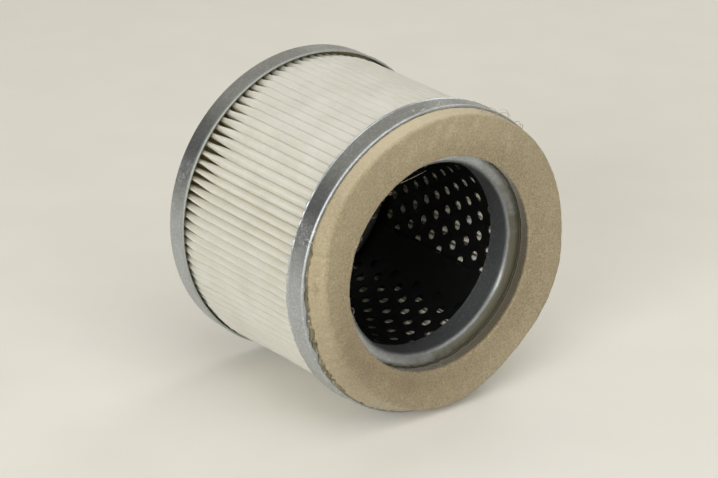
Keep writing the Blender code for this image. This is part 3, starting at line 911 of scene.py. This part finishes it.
def pleated_sheet():
    """Ivory paper with a grain and a fine emboss, with painted shade in the grooves and deep between the
    folds, and painted light on the inner folds by the core.
    """
    s = Surface("ivory_sheet", Specular_IOR_Level=0.2, Subsurface_Weight=1.0,
                Subsurface_Radius=(1.0, 0.92, 0.75), Subsurface_Scale=0.8 * MM)
    cloud = s.noise(90.0, 3.0)
    fibres = s.noise(1.0, 3.0, 0.65, s.vector("MULTIPLY", s.local, (1500, 500, 1500)), 0.5)
    emboss = s.noise(1.0, 1.0, 0.5, s.vector("MULTIPLY", s.local, (500, 2900, 500)))
    color = s.mix(s.spread(cloud, 0.3, 0.7), (0.605, 0.592, 0.522), (0.67, 0.66, 0.598))
    color = s.mix(s.spread(fibres, 0.5, 0.8, 0.0, 0.35), color, (0.75, 0.735, 0.66))
    # Painted shade towards the bottoms of the grooves between the outer folds
    painted_groove_shade = s.times(s.spread(s.radius, 45.7 * MM, 44.7 * MM, 0.0, 0.4),
                      s.spread(s.radius, 34 * MM, 40 * MM))
    color = s.mix(painted_groove_shade, color, (0.60, 0.56, 0.44))
    # Painted shade, brownish, deeper down between the folds
    painted_fold_shade = s.times(s.spread(s.radius, 45.2 * MM, 43.5 * MM), s.spread(s.radius, 36 * MM, 41 * MM))
    color = s.mix(s.times(painted_fold_shade, 0.75), color, (0.56, 0.47, 0.30))
    # Painted light: the inner folds by the core are made paler
    color = s.mix(s.spread(s.radius, 37 * MM, 33 * MM, 0.0, 0.85), color, (0.92, 0.84, 0.66))
    color = s.mix(s.spread(emboss, 0.4, 0.62, 0.0, 0.22), color, (0.60, 0.57, 0.47))
    roughness = s.spread(fibres, 0.3, 0.7, 0.75, 0.95)
    normal = s.bump(fibres, 0.3, 0.12 * MM, s.bump(emboss, 0.6, 0.15 * MM))
    return s.finish(color, roughness, normal)


def studio_floor():
    """Pale paper that glows very slightly, as a lit table does."""
    s = Surface("floor", Specular_IOR_Level=0.25, Emission_Color=(1.0, 0.93, 0.77, 1.0),
                Emission_Strength=0.085)
    paper = s.noise(40.0, 3.0)
    color = s.mix(s.spread(paper, 0.3, 0.7), (0.715, 0.705, 0.665), (0.735, 0.725, 0.685))
    return s.finish(color, s.spread(paper, 0.3, 0.7, 0.6, 0.7))


# Studio -------------------------------------------------------------------------------------------


def add_camera():
    """The view from the front left, a little above; its place is in cap radii from the cap's face."""
    data = bpy.data.cameras.new("camera")
    data.sensor_width = 36.0
    data.lens = 152.55
    data.clip_start, data.clip_end = 0.05, 20.0
    camera = bpy.data.objects.new("camera", data)
    face = Vector((0, FACE_Y, AXIS_Z))
    camera.location = face + CAP_RADIUS * Vector((-10.675, -13.429, 7.317))
    look = Vector((0.55487, 0.73706, -0.38582))
    camera.rotation_euler = look.to_track_quat("-Z", "Y").to_euler()
    bpy.context.scene.collection.objects.link(camera)
    bpy.context.scene.camera = camera


def card(name, size):
    """A flat rectangle in the XY plane."""
    mesh = bpy.data.meshes.new(name)
    x, y = size[0] / 2, size[1] / 2
    mesh.from_pydata([(-x, -y, 0), (x, -y, 0), (x, y, 0), (-x, y, 0)], [], [(0, 1, 2, 3)])
    return mesh


def add_facing(name, data, location, target, front):
    """Stands a light or a card at the location, with its front axis towards the target."""
    thing = bpy.data.objects.new(name, data)
    thing.location = location
    way = Vector(target) - Vector(location)
    thing.rotation_euler = way.to_track_quat(front, "Y").to_euler()
    bpy.context.scene.collection.objects.link(thing)
    return thing


def add_light(name, location, size, power):
    data = bpy.data.lights.new(name, "AREA")
    data.shape = "RECTANGLE"
    data.size, data.size_y = size
    data.energy = power
    data.color = (0.97, 0.985, 1.0)
    add_facing(name, data, location, (0, 0, 0.04), "-Z")


def add_flag(name, location, size):
    """A dark card that only gloss sees, so that metal has something dark to mirror."""
    mesh = card(name, size)
    mesh.materials.append(Surface("flag", Base_Color=(0.06, 0.06, 0.06, 1.0), Roughness=1.0).material)
    flag = add_facing(name, mesh, location, (0, 0, 0.05), "Z")
    for kind in ("camera", "diffuse", "transmission", "volume_scatter", "shadow"):
        setattr(flag, "visible_" + kind, False)


def add_studio():
    """The floor, the lamps with their dark card, and the light from all round."""
    mesh = card("studio_floor", (16.0, 16.0))
    mesh.materials.append(studio_floor())
    floor = bpy.data.objects.new("studio_floor", mesh)
    bpy.context.scene.collection.objects.link(floor)

    add_light("top", (-0.10, -0.42, 1.00), (1.0, 1.0), 4.5)
    add_light("left", (-1.10, -0.60, 0.52), (0.7, 0.45), 9.0)
    add_light("front", (0.0, -1.20, 0.75), (0.7, 0.5), 1.4)
    add_light("right", (0.95, 0.42, 0.90), (0.5, 0.5), 2.3)
    add_flag("dark_flag", (-0.85, 1.00, 0.42), (1.7, 0.95))
    world = bpy.data.worlds.new("studio")
    world.use_nodes = True
    background = world.node_tree.nodes["Background"]
    background.inputs["Color"].default_value = (0.855, 0.795, 0.665, 1.0)
    background.inputs["Strength"].default_value = 0.46
    bpy.context.scene.world = world
    bpy.context.scene.view_settings.view_transform = "Standard"


# The cartridge ------------------------------------------------------------------------------------

steel = galvanised_steel()
fibre = loose_fibre()
potting = potting_compound()
add_front_cap(steel)
add_rear_cap(steel)
add_felt(wool_felt())
add_glue(contact_glue())
add_nap(fibre)
add_stray_fibres(fibre)
add_core(black_steel())
add_media(pleated_sheet())
for node in ("front_potting", "rear_potting", "media_seam_glue"):
    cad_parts[node].material_slots[0].material = potting
add_camera()
add_studio()
